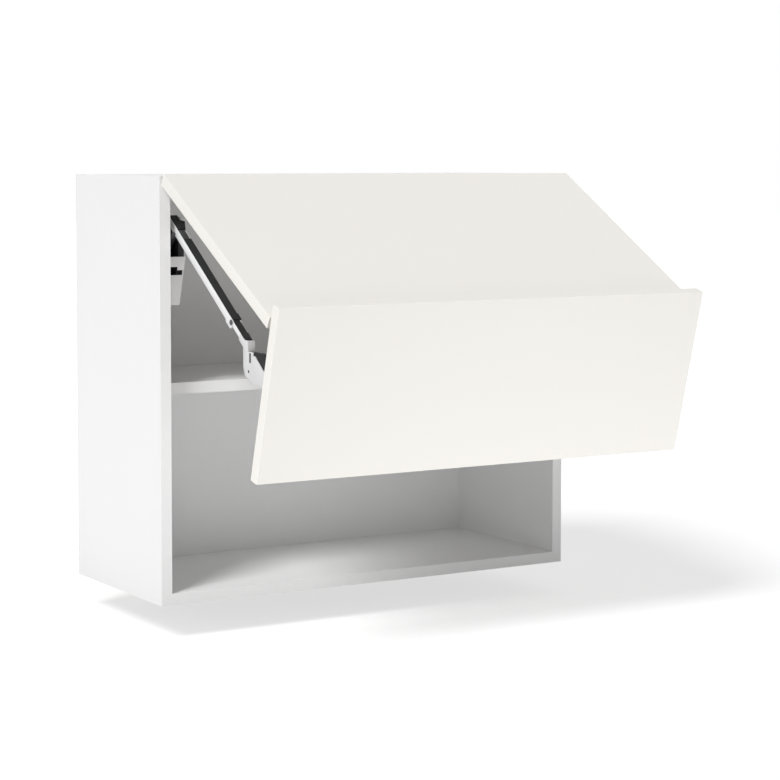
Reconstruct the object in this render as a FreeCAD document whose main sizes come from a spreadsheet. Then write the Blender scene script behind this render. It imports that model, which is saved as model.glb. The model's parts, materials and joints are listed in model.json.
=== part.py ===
import FreeCAD, Part
import math
import os
import re
from types import SimpleNamespace
from FreeCAD import Placement, Rotation, Vector

# Lift-up wall cabinet: an open carcass with one shelf, closed by an upper and a lower front
# that fold upwards together. The upper front turns on cup hinges under the top panel, the two
# fronts are joined by centre hinges, and a telescopic arm at each side carries the lower front
# from a spring lift unit. The model stands in the pose with the fronts held part open.
#
# Frame: X to the right seen from the front, Y towards the wall, Z up, in millimetres.
# The origin is on the wall plane, under the middle of the carcass.

os.makedirs("parts", exist_ok=True)
doc = FreeCAD.newDocument("LiftUpWallCabinet")
sheet = doc.addObject("Spreadsheet::Sheet", "Sizes")

SIZES = {
    # Carcass boards
    "width": 800.0,
    "height": 704.0,
    "depth": 337.0,
    "board": 19.0,
    "edge_band": 1.0,
    "back_panel_thickness": 4.0,
    "back_cavity": 20.0,
    "groove_depth": 8.0,
    "groove_end_play": 0.5,
    # Shelf and its pins
    "shelf_underside": 342.5,
    "shelf_setback": 44.0,
    "shelf_play": 0.8,
    "shelf_pin_radius": 2.5,
    "shelf_pin_length": 18.0,
    "shelf_pin_seat": 9.0,
    "shelf_pin_front": 110.0,
    "shelf_pin_rear": 250.0,
    # Dowels in the corner joints
    "dowel_radius": 4.0,
    "dowel_length": 30.0,
    "dowel_in_side": 11.0,
    "dowel_front": 50.0,
    "dowel_rear": 250.0,
    # Fronts
    "front_thickness": 19.0,
    "front_edge_radius": 0.8,
    "front_gap": 2.0,
    "front_reveal": 1.5,
    "fold_gap": 3.0,
    "upper_front_length": 417.5,
    "open_angle": 60.0,
    "fold_angle": 75.0,
    # Cup hinges, shared by the top and the centre of the fronts
    "hinge_offset": 300.0,
    "cup_radius": 17.5,
    "cup_depth": 15.0,
    "cup_wall": 1.0,
    "cup_flange_radius": 19.0,
    "cup_edge": 2.5,
    "pin_clearance": 0.05,
    # Top hinge, measured from the closed upper front's top inner corner
    "top_pivot_in": 11.0,
    "top_pivot_down": 6.5,
    "top_pin_radius": 1.3,
    "top_pin_length": 18.0,
    "top_arm_width": 6.0,
    "top_arm_wall": 3.3,
    "top_plate_thickness": 3.0,
    "top_plate_width": 34.0,
    "top_plate_length": 50.0,
    "top_plate_setback": 12.0,
    # Centre hinge, measured from the two meeting edges of the fronts
    "link_pivot_setback": 19.5,
    "link_pivot_behind": 5.0,
    "cup_pivot_edge": 16.0,
    "cup_pivot_depth": 1.0,
    "link_turn_share": 0.6,
    "link_pin_radius": 1.4,
    "link_pin_length": 20.0,
    "cup_pin_length": 32.8,
    "link_width": 12.0,
    "link_half_wall": 1.2,
    "link_eye_radius": 3.0,
    "link_nose_in": 14.5,
    "link_nose_down": 15.5,
    "link_step_in": 7.9,
    "link_step_down": 23.8,
    "link_foot_in": 1.5,
    "link_foot_down": 32.5,
    "hinge_ear_wall": 3.0,
    "hinge_ear_gap": 0.5,
    "hinge_plate_width": 34.0,
    "hinge_plate_length": 53.0,
    "hinge_plate_thickness": 2.5,
    # Screws
    "screw_radius": 2.0,
    "screw_length": 14.0,
    "screw_head_radius": 4.0,
    "screw_head_height": 1.6,
    # Lift units, measured inwards from the side panel and back from the carcass front
    "unit_width": 41.0,
    "unit_skin": 2.0,
    "unit_front": 28.0,
    "unit_rear": 200.0,
    "unit_top_drop": 68.0,
    "unit_height": 146.0,
    "unit_slope_drop": 65.0,
    "unit_slope_run": 23.5,
    "cover_setback": 45.0,
    "cover_window_drop": 82.0,
    "cover_window_height": 13.5,
    "cover_window_step": 5.5,
    "cover_window_narrow": 10.0,
    "plate_lip": 14.0,
    "hood_drop": 6.5,
    "hood_run": 50.0,
    "hood_reach": 7.0,
    "hood_height": 15.0,
    "slot_start": 8.0,
    "slot_end": 28.6,
    "slot_rear": 100.0,
    "spring_radius": 11.0,
    "spring_length": 116.0,
    "spring_pitch": 32.0,
    "spring_rear_inset": 30.0,
    "cavity_play": 2.0,
    "adjuster_radius": 4.0,
    "adjuster_length": 16.0,
    "adjuster_inset": 7.0,
    "adjuster_socket": 2.3,
    "axle_setback": 54.0,
    "axle_drop": 109.0,
    "axle_radius": 4.0,
    # Arms, measured inwards from the side panel and along the arm from its axle
    "arm_slope": 34.81,
    "arm_inset": 11.0,
    "arm_width": 15.8,
    "arm_height": 12.4,
    "arm_offset": 37.5,
    "arm_wall": 1.2,
    "arm_slide_play": 0.1,
    "arm_root": -6.0,
    "arm_notch_start": 24.0,
    "arm_notch_length": 10.0,
    "arm_notch_height": 3.5,
    "arm_outer_end": 275.0,
    "arm_lug_length": 24.0,
    "arm_lug_drop": 3.2,
    "arm_cap_end": 32.0,
    "arm_lid_start": 58.0,
    "arm_lid_end": 269.0,
    "arm_lid_height": 1.7,
    "arm_ear_length": 15.0,
    "arm_ear_reach": 1.6,
    "arm_inner_start": 200.0,
    "arm_inner_end": 326.0,
    "arm_inner_wall": 1.0,
    "arm_inner_height": 7.8,
    "arm_inner_lip": 1.2,
    "arm_inner_step_start": 300.0,
    "arm_inner_step_reach": 1.4,
    "lever_length": 22.0,
    "lever_boss_radius": 12.0,
    "end_tab_start": 304.0,
    "end_tab_rise": 16.0,
    "end_flange_reach": 302.2,
    "end_flange_drop": 142.0,
    "end_flange_height": 16.8,
    "end_flange_thickness": 1.6,
    "end_flange_width": 11.4,
    "end_plate_rear": 15.0,
    "end_plate_toe": 43.0,
    "end_plate_tail": 60.0,
    "end_slot_reach": 4.6,
    "end_slot_width": 5.6,
    "end_slot_height": 15.0,
    "end_slot_drop": 1.8,
    "end_hole_reach": 2.2,
    "end_hole_drop": 30.6,
    "end_hole_radius": 2.5,
    "end_key_play": 0.15,
    "end_key_recess": 0.3,
    "end_key_root": 1.0,
    "end_step_reach": 17.5,
    "end_step_drop": 5.6,
    "end_block_width": 11.0,
    "end_boss_radius": 10.0,
    "arm_pin_radius": 4.0,
    "arm_pin_head_radius": 6.5,
    "arm_pin_head_height": 1.5,
    "clamp_radius": 4.4,
    "clamp_head_height": 1.6,
    # Arm brackets on the lower front, measured from its top edge and inner face
    "arm_pivot_down": 117.0,
    "arm_pivot_behind": 18.0,
    "open_pivot_gap": 1.0,
    "bracket_thickness": 2.5,
    "bracket_width": 34.0,
    "bracket_length": 60.0,
    # Wall hangers in the rear cavity
    "hanger_width": 60.0,
    "hanger_depth": 15.0,
    "hanger_height": 60.0,
    "hanger_top_drop": 34.0,
    "hook_width": 24.0,
    "hook_wall": 2.5,
    "hook_rise": 12.0,
    "hook_lip": 9.0,
    "hook_wall_clearance": 1.0,
    "hanger_screw_radius": 3.0,
    "hanger_screw_spread": 22.0,
    "cap_length": 44.0,
    "cap_height": 24.0,
    "cap_thickness": 2.0,
    # Rubber buffers on the lower front
    "buffer_radius": 4.0,
    "buffer_thickness": 1.8,
    "buffer_edge": 12.0,
}

for row, (name, value) in enumerate(SIZES.items(), start=1):
    sheet.set(f"A{row}", name.replace("_", " "))
    sheet.set(f"B{row}", str(value))
    sheet.setAlias(f"B{row}", name)
doc.recompute()
size = SimpleNamespace(**{name: float(getattr(sheet, name)) for name in SIZES})
LEFT, RIGHT = -1, 1
ALONG_X = Rotation(Vector(0, 1, 0), 90)
ALONG_Y = Rotation(Vector(1, 0, 0), -90)


# ---------------------------------------------------------------- building blocks

def cells(text):
    """Turn an expression in size names into one that reads the spreadsheet."""
    return re.sub(r"[a-z_]+", lambda word: f"Sizes.{word.group(0)}", text)


def box(extent, corner):
    """A board or block: its extent and its low corner are expressions in size names."""
    made = doc.addObject("Part::Box", "Box")
    for prop, text in zip(("Length", "Width", "Height"), extent):
        made.setExpression(prop, cells(text))
    for axis, text in zip("xyz", corner):
        made.setExpression(f"Placement.Base.{axis}", cells(text))
    return made


def rod(radius, length, start, turn):
    """A round bar from a start point, along X or Y as its turn says."""
    made = doc.addObject("Part::Cylinder", "Rod")
    made.setExpression("Radius", cells(radius))
    made.setExpression("Height", cells(length))
    made.Placement = Placement(Vector(*start), turn)
    return made


def rod_along_x(radius, length, middle):
    """A round bar along X about its middle point; its length is the name of a size."""
    half = getattr(size, length) / 2
    return rod(radius, length, (middle[0] - half, middle[1], middle[2]), ALONG_X)


def prism(points, x_low, x_high, holes=()):
    """A flat piece square to X: a closed outline of (y, z) points with round holes (y, z, radius)."""
    body = doc.addObject("PartDesign::Body", "Body")
    sketch = body.newObject("Sketcher::SketchObject", "Outline")
    plane = next(item for item in body.Origin.OriginFeatures if item.Role == "YZ_Plane")
    sketch.AttachmentSupport = [(plane, "")]
    sketch.MapMode = "FlatFace"
    corners = [Vector(y, z, 0) for y, z in points]
    for start, end in zip(corners, corners[1:] + corners[:1]):
        sketch.addGeometry(Part.LineSegment(start, end), False)
    for y, z, radius in holes:
        sketch.addGeometry(Part.Circle(Vector(y, z, 0), Vector(0, 0, 1), radius), False)
    pad = body.newObject("PartDesign::Pad", "Pad")
    pad.Profile = sketch
    pad.Length = x_high - x_low
    body.Placement = Placement(Vector(x_low, 0, 0), Rotation())
    return body


def join(pieces):
    made = doc.addObject("Part::MultiFuse", "Fusion")
    made.Shapes = pieces
    return made


def bundle(pieces):
    made = doc.addObject("Part::Compound", "Bundle")
    made.Links = pieces
    return made


def cut(base, tools):
    made = doc.addObject("Part::Cut", "Cut")
    made.Base = base
    made.Tool = tools[0] if len(tools) == 1 else bundle(tools)
    return made


NODES = []


def node(label, piece, move=None):
    """Name a finished piece and, for a moving body, carry it to its place."""
    if move is not None:
        if piece.ExpressionEngine:
            piece = bundle([piece])
        piece.Placement = move.multiply(piece.Placement)
    piece.Label = label
    NODES.append(piece)


def side_name(side):
    return "left" if side == LEFT else "right"


def span(side, start, end):
    """The X range between two distances inwards from a side panel's inner face."""
    face = size.width / 2 - size.board
    ends = (side * (face - start), side * (face - end))
    return min(ends), max(ends)


# ---------------------------------------------------------------- poses of the moving bodies

front_plane = -size.depth
inner_half = size.width / 2 - size.board
front_half = size.width / 2 - size.front_reveal
closed_face = front_plane - size.front_gap
front_top = size.height - size.front_reveal
lower_length = size.height - 2 * size.front_reveal - size.fold_gap - size.upper_front_length
lower_top = front_top - size.upper_front_length - size.fold_gap

top_pivot = Vector(0, closed_face - size.top_pivot_in, front_top - size.top_pivot_down)
link_pivot = Vector(0, closed_face + size.link_pivot_behind,
                    front_top - size.upper_front_length + size.link_pivot_setback)
cup_pivot = Vector(0, closed_face - size.cup_pivot_depth, lower_top - size.cup_pivot_edge)
axle = Vector(0, front_plane + size.axle_setback, size.height - size.axle_drop)


def turn_about(pivot, degrees):
    """A turn about an X axis through the pivot; positive folds the fronts' lower ends inwards."""
    return Placement(Vector(), Rotation(Vector(1, 0, 0), degrees), pivot)


upper_open = turn_about(top_pivot, -size.open_angle)
links_open = upper_open.multiply(turn_about(link_pivot, -size.link_turn_share * size.fold_angle))
lower_open = links_open.multiply(turn_about(cup_pivot, (1 + size.link_turn_share) * size.fold_angle))
upper_place = upper_open.multiply(Placement(Vector(0, closed_face, front_top), Rotation()))
lower_place = lower_open.multiply(Placement(Vector(0, closed_face, lower_top), Rotation()))
links_place = links_open.multiply(Placement(link_pivot, Rotation()))
arm_place = Placement(axle, Rotation(Vector(1, 0, 0), size.arm_slope))
arm_pivot = lower_place.multVec(Vector(0, size.arm_pivot_behind, -size.arm_pivot_down))


# ---------------------------------------------------------------- screws

def screw(start, direction):
    """A screw whose head sits at the start point and whose shank runs along the direction."""
    turn = Rotation(Vector(0, 0, 1), direction)
    shank = doc.addObject("Part::Cylinder", "Shank")
    shank.setExpression("Radius", cells("screw_radius"))
    shank.setExpression("Height", cells("screw_length"))
    shank.Placement = Placement(start, turn)
    head = doc.addObject("Part::Cylinder", "Head")
    head.setExpression("Radius", cells("screw_head_radius"))
    head.setExpression("Height", cells("screw_head_height"))
    head.Placement = Placement(start - direction * size.screw_head_height, turn)
    return join([shank, head])


def screw_hole(start, direction):
    """The hole that a screw's shank fills."""
    shank = doc.addObject("Part::Cylinder", "ScrewHole")
    shank.setExpression("Radius", cells("screw_radius"))
    shank.setExpression("Height", cells("screw_length"))
    shank.Placement = Placement(start, Rotation(Vector(0, 0, 1), direction))
    return shank


# ---------------------------------------------------------------- lift unit outline

unit_top = size.height - size.unit_top_drop
unit_bottom = unit_top - size.unit_height
slope_top = unit_top - size.unit_slope_drop


def unit_front_at(z, inset=0.0):
    """The lift unit's front: upright at the top, leaning back below the slope's start."""
    run = size.unit_slope_run * (slope_top - z) / (slope_top - unit_bottom)
    return front_plane + size.unit_front + inset + max(0.0, run)


unit_rear = front_plane + size.unit_rear
plate_top = unit_top + size.plate_lip
plate_rear = unit_rear + size.plate_lip
lift_screws = [(front_plane + 1.5 * size.cover_setback, unit_top + size.plate_lip / 2),
               (unit_rear - size.plate_lip, unit_top + size.plate_lip / 2),
               (unit_rear + size.plate_lip / 2, unit_top - size.plate_lip),
               (unit_rear + size.plate_lip / 2, unit_bottom + size.plate_lip)]


# ---------------------------------------------------------------- carcass

def side_panel(side):
    """A side panel: grooved for the back and bored for the dowels, shelf pins and lift screws."""
    outer = "-width / 2" if side == LEFT else "width / 2 - board"
    groove_x = "-width / 2 + board - groove_depth" if side == LEFT else "width / 2 - board"
    panel = box(("board", "depth - edge_band", "height"), (outer, "-depth + edge_band", "0"))
    groove = box(("groove_depth", "back_panel_thickness", "height - 2 * board + 2 * groove_depth"),
                 (groove_x, "-back_cavity - back_panel_thickness", "board - groove_depth"))
    inner = side * inner_half
    tools = [groove]
    for y in (front_plane + size.dowel_front, front_plane + size.dowel_rear):
        for z in (size.board / 2, size.height - size.board / 2):
            start = inner if side == RIGHT else inner - size.dowel_in_side
            tools.append(rod("dowel_radius", "dowel_in_side", (start, y, z), ALONG_X))
    for y in (front_plane + size.shelf_pin_front, front_plane + size.shelf_pin_rear):
        start = inner if side == RIGHT else inner - size.shelf_pin_seat
        tools.append(rod("shelf_pin_radius", "shelf_pin_seat",
                         (start, y, size.shelf_underside - size.shelf_pin_radius), ALONG_X))
    for y, z in lift_screws:
        tools.append(screw_hole(Vector(side * (inner_half - size.unit_skin), y, z), Vector(side, 0, 0)))
    node(f"{side_name(side)}_side_panel", cut(panel, tools))


def cross_panel(label, low):
    """The top or bottom panel between the sides, grooved for the back and bored for dowels."""
    groove_low = "height - board" if label == "top_panel" else "board - groove_depth"
    panel = box(("width - 2 * board", "depth - edge_band", "board"),
                ("-width / 2 + board", "-depth + edge_band", low))
    groove = box(("width - 2 * board", "back_panel_thickness", "groove_depth"),
                 ("-width / 2 + board", "-back_cavity - back_panel_thickness", groove_low))
    middle = size.board / 2 if label == "bottom_panel" else size.height - size.board / 2
    reach = size.dowel_length - size.dowel_in_side
    tools = [groove]
    for y in (front_plane + size.dowel_front, front_plane + size.dowel_rear):
        for start in (-inner_half, inner_half - reach):
            tools.append(rod("dowel_radius", "dowel_length - dowel_in_side", (start, y, middle), ALONG_X))
    if label == "top_panel":
        for x, y in top_plate_screws:
            tools.append(screw_hole(Vector(x, y, top_plate_low), Vector(0, 0, 1)))
    node(label, cut(panel, tools))


top_plate_low = size.height - size.board - size.top_plate_thickness
top_plate_front = front_plane + size.top_plate_setback
top_plate_screws = [(side * size.hinge_offset + shift, top_plate_front + reach)
                    for side in (LEFT, RIGHT)
                    for shift in (-11.0, 11.0)
                    for reach in (0.3 * size.top_plate_length,)]

side_panel(LEFT)
side_panel(RIGHT)
cross_panel("top_panel", "height - board")
cross_panel("bottom_panel", "0")

# The back panel stands in the grooves, with holes for the hangers' adjusting screws.
hanger_top = size.height - size.hanger_top_drop
hanger_middle = hanger_top - size.hanger_height / 2
hanger_screws = [side * (inner_half - size.hanger_width / 2) + shift * size.hanger_screw_spread / 2
                 for side in (LEFT, RIGHT) for shift in (-1, 1)]
back = box(("width - 2 * board + 2 * groove_depth - 2 * groove_end_play", "back_panel_thickness",
            "height - 2 * board + 2 * groove_depth - 2 * groove_end_play"),
           ("-width / 2 + board - groove_depth + groove_end_play", "-back_cavity - back_panel_thickness",
            "board - groove_depth + groove_end_play"))
node("back_panel", cut(back, [rod("hanger_screw_radius", "back_panel_thickness",
                                  (x, -size.back_cavity - size.back_panel_thickness, hanger_middle), ALONG_Y)
                              for x in hanger_screws]))

# The shelf rests on four pins and stands back from the front, where the arms hang when closed.
node("shelf", box(("width - 2 * board - 2 * shelf_play",
                   "depth - shelf_setback - edge_band - back_cavity - back_panel_thickness - shelf_play",
                   "board"),
                  ("-width / 2 + board + shelf_play", "-depth + shelf_setback + edge_band",
                   "shelf_underside")))
node("shelf_pins", bundle([rod("shelf_pin_radius", "shelf_pin_length",
                               (side * inner_half - (size.shelf_pin_seat if side == LEFT else
                                                     size.shelf_pin_length - size.shelf_pin_seat),
                                front_plane + setback, size.shelf_underside - size.shelf_pin_radius), ALONG_X)
                           for side in (LEFT, RIGHT)
                           for setback in (size.shelf_pin_front, size.shelf_pin_rear)]))
node("carcass_dowels", bundle([rod("dowel_radius", "dowel_length",
                                   (side * inner_half - (size.dowel_in_side if side == LEFT else
                                                         size.dowel_length - size.dowel_in_side),
                                    front_plane + setback, z), ALONG_X)
                               for side in (LEFT, RIGHT)
                               for setback in (size.dowel_front, size.dowel_rear)
                               for z in (size.board / 2, size.height - size.board / 2)]))

# Edge bands on the front edges of the two sides, the top, the bottom and the shelf.
node("front_edge_bands", bundle([
    box(("board", "edge_band", "height"), ("-width / 2", "-depth", "0")),
    box(("board", "edge_band", "height"), ("width / 2 - board", "-depth", "0")),
    box(("width - 2 * board", "edge_band", "board"), ("-width / 2 + board", "-depth", "height - board")),
    box(("width - 2 * board", "edge_band", "board"), ("-width / 2 + board", "-depth", "0")),
    box(("width - 2 * board - 2 * shelf_play", "edge_band", "board"),
        ("-width / 2 + board + shelf_play", "-depth + shelf_setback", "shelf_underside"))]))


# ---------------------------------------------------------------- wall hangers

hangers, hooks, adjusters, caps = [], [], [], []
for side in (LEFT, RIGHT):
    x_low, x_high = span(side, 0.0, size.hanger_width)
    hangers.append(prism([(-size.back_cavity, hanger_top - size.hanger_height),
                          (-size.back_cavity + size.hanger_depth, hanger_top - size.hanger_height),
                          (-size.back_cavity + size.hanger_depth, hanger_top),
                          (-size.back_cavity, hanger_top)], x_low, x_high))
    middle = (x_low + x_high) / 2
    root = -size.back_cavity + size.hanger_depth / 2
    tip = -size.hook_wall_clearance
    crown = hanger_top + size.hook_rise
    hooks.append(prism([(root - size.hook_wall, hanger_top), (root, hanger_top),
                        (root, crown - size.hook_wall), (tip - size.hook_wall, crown - size.hook_wall),
                        (tip - size.hook_wall, crown - size.hook_lip), (tip, crown - size.hook_lip),
                        (tip, crown), (root - size.hook_wall, crown)],
                       middle - size.hook_width / 2, middle + size.hook_width / 2))
    caps.append(box(("cap_length", "cap_thickness", "cap_height"),
                    ("-width / 2 + board + hanger_width / 2 - cap_length / 2" if side == LEFT else
                     "width / 2 - board - hanger_width / 2 - cap_length / 2",
                     "-back_cavity - back_panel_thickness - cap_thickness",
                     "height - hanger_top_drop - hanger_height / 2 - cap_height / 2")))
for x in hanger_screws:
    adjusters.append(rod("hanger_screw_radius", "back_panel_thickness",
                         (x, -size.back_cavity - size.back_panel_thickness, hanger_middle), ALONG_Y))
node("wall_hangers", bundle(hangers))
node("hanger_hooks", bundle(hooks))
node("hanger_adjusting_screws", bundle(adjusters))
node("hanger_cover_caps", bundle(caps))


# ---------------------------------------------------------------- lift units

def lift_unit(side):
    """The spring unit on a side panel: base plate, slotted housing, cover, springs and axle."""
    name = side_name(side)
    plate_low, plate_high = span(side, 0.0, size.unit_skin)
    plate = prism([(unit_front_at(unit_top, size.unit_skin), unit_top),
                   (unit_front_at(slope_top, size.unit_skin), slope_top),
                   (unit_front_at(unit_bottom, size.unit_skin), unit_bottom),
                   (plate_rear, unit_bottom), (plate_rear, plate_top),
                   (front_plane + size.cover_setback, plate_top),
                   (front_plane + size.cover_setback, unit_top)], plate_low, plate_high,
                  [(y, z, size.screw_radius) for y, z in lift_screws])
    node(f"{name}_lift_base_plate", plate)

    # The housing is slotted for the arm from its front, and holds the springs in its rear block.
    block_low, block_high = span(side, size.unit_skin, size.unit_width - size.unit_skin)
    front, hood_top = unit_front_at(unit_top, size.unit_skin), unit_top - size.hood_drop
    outline = [(front, hood_top), (unit_front_at(slope_top, size.unit_skin), slope_top),
               (unit_front_at(unit_bottom, size.unit_skin), unit_bottom),
               (unit_rear, unit_bottom), (unit_rear, unit_top), (front + size.hood_run, unit_top)]
    hood = prism([(front, hood_top), (front - size.hood_reach / 2, hood_top),
                  (front - size.hood_reach, hood_top - size.hood_height),
                  (front, hood_top - 1.5 * size.hood_height)],
                 *span(side, size.slot_end, size.unit_width - size.unit_skin))
    slot_low, slot_high = span(side, size.slot_start, size.slot_end)
    slot = prism([(front_plane, unit_bottom - 1), (front_plane + size.slot_rear, unit_bottom - 1),
                  (front_plane + size.slot_rear, unit_top + 1), (front_plane, unit_top + 1)],
                 slot_low, slot_high)
    spring_x = sum(span(side, size.unit_width / 2, size.unit_width / 2)) / 2
    spring_low = (unit_bottom + unit_top - size.spring_length) / 2
    spring_ys = [unit_rear - size.spring_rear_inset - index * size.spring_pitch for index in (0, 1)]
    reach = size.spring_radius + size.cavity_play
    cavity = prism([(spring_ys[1] - reach, spring_low), (spring_ys[0] + reach, spring_low),
                    (spring_ys[0] + reach, spring_low + size.spring_length),
                    (spring_ys[1] - reach, spring_low + size.spring_length)],
                   spring_x - reach, spring_x + reach)
    axle_hole = rod("axle_radius", "unit_width", (span(side, 0, size.unit_width)[0], axle.y, axle.z), ALONG_X)
    window_top = unit_top - size.cover_window_drop
    adjuster_z = window_top - (size.cover_window_step + size.cover_window_height) / 2
    adjuster_x = sum(span(side, size.unit_width - size.adjuster_inset,
                          size.unit_width - size.adjuster_inset)) / 2
    adjuster_start = (adjuster_x, unit_front_at(adjuster_z, size.unit_skin) - size.unit_skin / 2, adjuster_z)
    adjuster_hole = rod("adjuster_radius", "adjuster_length", adjuster_start, ALONG_Y)
    node(f"{name}_lift_housing", cut(join([prism(outline, block_low, block_high), hood]),
                                     [slot, cavity, axle_hole, adjuster_hole]))

    # The cover: a side cheek on the cabinet side and two front skins, with a stepped window between.
    cheek_low, cheek_high = span(side, size.unit_width - size.unit_skin, size.unit_width)
    cheek = prism([(front_plane + size.cover_setback, unit_top),
                   (front_plane + size.cover_setback, slope_top),
                   (unit_front_at(slope_top), slope_top), (unit_front_at(unit_bottom), unit_bottom),
                   (unit_rear, unit_bottom), (unit_rear, unit_top)], cheek_low, cheek_high)
    window_low = window_top - size.cover_window_height
    step = span(side, size.unit_width - size.unit_skin - size.cover_window_narrow,
                size.unit_width - size.unit_skin)
    skins = []
    for high, low, reach_x in ((slope_top, window_top, (block_low, block_high)),
                               (window_top, window_top - size.cover_window_step, step),
                               (window_low, unit_bottom, (block_low, block_high))):
        skins.append(prism([(unit_front_at(high), high), (unit_front_at(low), low),
                            (unit_front_at(low, size.unit_skin), low),
                            (unit_front_at(high, size.unit_skin), high)], *reach_x))
    node(f"{name}_lift_cover", join([cheek] + skins))

    springs = []
    for y in spring_ys:
        spring = doc.addObject("Part::Cylinder", "Spring")
        spring.setExpression("Radius", cells("spring_radius"))
        spring.setExpression("Height", cells("spring_length"))
        spring.Placement = Placement(Vector(spring_x, y, spring_low), Rotation())
        springs.append(spring)
    node(f"{name}_spring_pack", bundle(springs))

    socket = doc.addObject("Part::Prism", "HexSocket")
    socket.Polygon = 6
    socket.setExpression("Circumradius", cells("adjuster_socket"))
    socket.setExpression("Height", cells("adjuster_length / 3"))
    socket.Placement = Placement(Vector(*adjuster_start), ALONG_Y)
    node(f"{name}_power_adjuster", cut(rod("adjuster_radius", "adjuster_length", adjuster_start, ALONG_Y),
                                       [socket]))
    node(f"{name}_lift_axle", rod("axle_radius", "unit_width - 2 * unit_skin",
                                  (block_low, axle.y, axle.z), ALONG_X))
    return [screw(Vector(side * (inner_half - size.unit_skin), y, z), Vector(side, 0, 0))
            for y, z in lift_screws]


node("lift_unit_screws", bundle(lift_unit(LEFT) + lift_unit(RIGHT)))


# ---------------------------------------------------------------- top hinges

def cup_body(centre_z):
    """The outside of a hinge cup in a front's frame: the pot and its flush flange."""
    pot = rod("cup_radius", "cup_depth", (0, -size.cup_depth, centre_z), ALONG_Y)
    flange = rod("cup_flange_radius", "cup_wall", (0, -size.cup_wall, centre_z), ALONG_Y)
    return join([pot, flange])


def at_hinge(piece, side):
    """A copy of a hinge piece, carried sideways to its hinge line."""
    made = bundle([piece])
    made.Placement = Placement(Vector(side * size.hinge_offset, 0, 0), Rotation())
    return made


def at_hinges(make):
    return [at_hinge(make(), side) for side in (LEFT, RIGHT)]


cup_centre = -(size.cup_edge + size.cup_radius)


def cup(pin_y, pin_z, pin_radius, pin_length):
    """A hinge cup with its pin's seat cut away."""
    hollow = rod("cup_radius - cup_wall", "cup_depth",
                 (0, size.cup_wall - size.cup_depth, cup_centre), ALONG_Y)
    seat = rod_along_x(pin_radius, pin_length, (0, pin_y, pin_z))
    return cut(cup_body(cup_centre), [hollow, seat])


def top_arm():
    """The fixed arm: a block under its plate, a tongue forward and an eye inside the cup."""
    y, z = top_pivot.y, top_pivot.z
    eye = size.top_pin_radius + size.cup_wall
    foot_top = top_plate_low
    foot_low = foot_top - 2 * size.top_plate_thickness
    tongue_top = foot_low + size.top_arm_wall
    return prism([(y - eye, z + eye / 2), (y - eye / 2, z + eye), (y + eye / 2, z + eye),
                  (y + eye, z + eye / 2), (y + eye, tongue_top),
                  (top_plate_front, tongue_top), (top_plate_front, foot_top),
                  (top_plate_front + size.top_plate_length, foot_top),
                  (top_plate_front + size.top_plate_length, foot_low),
                  (y, foot_low), (y - eye, foot_low + eye)],
                 -size.top_arm_width / 2, size.top_arm_width / 2,
                 [(y, z, size.top_pin_radius + size.pin_clearance)])


node("top_hinge_plates", cut(
    bundle([box(("top_plate_width", "top_plate_length", "top_plate_thickness"),
                (f"{'-' if side == LEFT else ''}hinge_offset - top_plate_width / 2",
                 "-depth + top_plate_setback", "height - board - top_plate_thickness"))
            for side in (LEFT, RIGHT)]),
    [screw_hole(Vector(x, y, top_plate_low), Vector(0, 0, 1)) for x, y in top_plate_screws]))
node("top_hinge_arms", bundle(at_hinges(top_arm)))
node("top_hinge_plate_screws", bundle([screw(Vector(x, y, top_plate_low), Vector(0, 0, 1))
                                       for x, y in top_plate_screws]))


# ---------------------------------------------------------------- upper front

def front_board(length):
    """A front: its inner face at y = 0, its top edge at z = 0, with softly rounded edges."""
    board = box(("width - 2 * front_reveal", "front_thickness", length),
                ("-width / 2 + front_reveal", "-front_thickness", f"-({length})"))
    rounded = doc.addObject("Part::Fillet", "RoundedEdges")
    rounded.Base = board
    rounded.Edges = [(edge, size.front_edge_radius, size.front_edge_radius) for edge in range(1, 13)]
    return rounded


top_pin = (0, -size.top_pivot_in, -size.top_pivot_down)
hinge_plate_end = size.upper_front_length - size.link_pivot_setback - size.link_eye_radius - 2.0
hinge_plate_screws = [(side * size.hinge_offset + shift, -hinge_plate_end + reach)
                      for side in (LEFT, RIGHT) for shift in (-11.0, 11.0)
                      for reach in (0.56 * size.hinge_plate_length, 0.84 * size.hinge_plate_length)]
node("upper_front_panel", cut(
    front_board("upper_front_length"),
    at_hinges(lambda: cup_body(cup_centre))
    + [screw_hole(Vector(x, size.hinge_plate_thickness, z), Vector(0, -1, 0))
       for x, z in hinge_plate_screws]),
    upper_place)
node("top_hinge_cups", bundle(at_hinges(lambda: cup(top_pin[1], top_pin[2], "top_pin_radius",
                                                    "top_pin_length"))), upper_place)
node("top_hinge_pins", bundle(at_hinges(lambda: rod_along_x("top_pin_radius", "top_pin_length", top_pin))),
     upper_place)


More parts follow.
